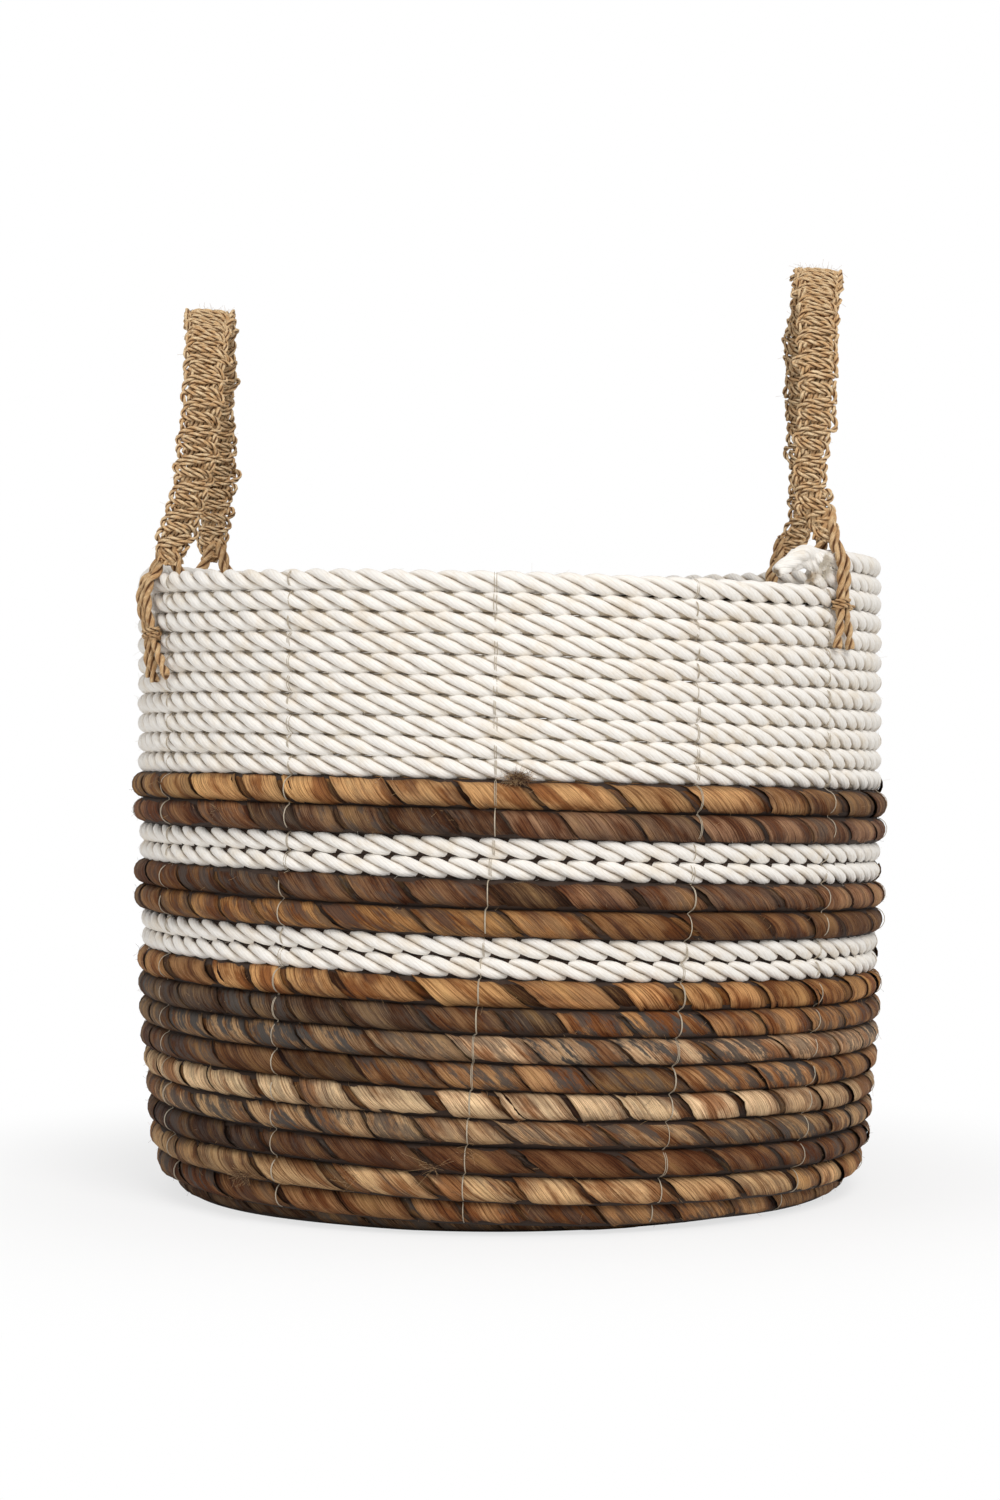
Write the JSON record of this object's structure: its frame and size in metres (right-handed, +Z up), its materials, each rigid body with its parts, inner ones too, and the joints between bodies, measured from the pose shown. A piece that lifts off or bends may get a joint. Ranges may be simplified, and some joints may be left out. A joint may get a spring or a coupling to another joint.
{
  "type": "laundry basket",
  "caption": "Round coiled laundry basket in white rope and banana bark courses, with two arched knotted jute handles.",
  "frame": {"origin": "centre of the underside of the base coil, on the floor", "axes": "+Z up, -Y the front, +X to the right of someone facing the front, where the rim steps up"},
  "size_m": [0.4513, 0.4515, 0.5501],
  "materials": {
    "cotton_rope": "matt, three twisted strands of cotton",
    "banana_bark": "dried fibrous bark strips, satin on their high fibres",
    "jute_cord": "matt, hairy twisted jute",
    "jute_core": "matt jute cords laid side by side",
    "iron_wire": "dull dark coating",
    "nylon_thread": "thin translucent cream thread"
  },
  "bodies": {
    "basket": {"rope_course_01": "cotton_rope", "rope_course_02": "cotton_rope", "rope_course_03": "cotton_rope", "rope_course_04": "cotton_rope", "rope_course_05": "cotton_rope", "rope_course_06": "cotton_rope", "rope_course_07": "cotton_rope", "rope_course_08": "cotton_rope", "rope_course_09": "cotton_rope", "rope_course_10": "cotton_rope", "bark_course_11": "banana_bark", "bark_course_12": "banana_bark", "rope_course_13": "cotton_rope", "rope_course_14": "cotton_rope", "bark_course_15": "banana_bark", "bark_course_16": "banana_bark", "rope_course_17": "cotton_rope", "rope_course_18": "cotton_rope", "bark_course_19": "banana_bark", "bark_course_20": "banana_bark", "bark_course_21": "banana_bark", "bark_course_22": "banana_bark", "bark_course_23": "banana_bark", "bark_course_24": "banana_bark", "bark_course_25": "banana_bark", "bark_course_26": "banana_bark", "bark_course_27": "banana_bark", "bark_course_28": "banana_bark", "rope_fold_course": "cotton_rope", "rope_fold_end": "cotton_rope", "base_coil_1": "banana_bark", "base_coil_2": "banana_bark", "base_coil_3": "banana_bark", "base_coil_4": "banana_bark", "frame_uprights": "iron_wire", "frame_top_ring": "iron_wire", "frame_hub_ring": "iron_wire", "wall_stitching": "nylon_thread", "base_stitching": "nylon_thread", "left_front_lashing": "jute_cord", "left_front_binding": "jute_cord", "left_back_lashing": "jute_cord", "left_back_binding": "jute_cord", "right_front_lashing": "jute_cord", "right_front_binding": "jute_cord", "right_back_lashing": "jute_cord", "right_back_binding": "jute_cord"},
    "left_handle": {"left_handle_core": "jute_core", "left_handle_strap": "jute_cord"},
    "right_handle": {"right_handle_core": "jute_core", "right_handle_strap": "jute_cord"}
  },
  "joints": [
    {"name": "left_handle_swing", "type": "hinge", "parent": "basket", "child": "left_handle", "pos_m": [-0.19313, -0.0984, 0.36915], "axis": [0.0261, 0.9954, 0.0918], "range_deg": [-50, 75]},
    {"name": "right_handle_swing", "type": "hinge", "parent": "basket", "child": "right_handle", "pos_m": [0.17755, -0.12432, 0.37963], "axis": [0, 0.9993, 0.0369], "range_deg": [-75, 50]}
  ]
}
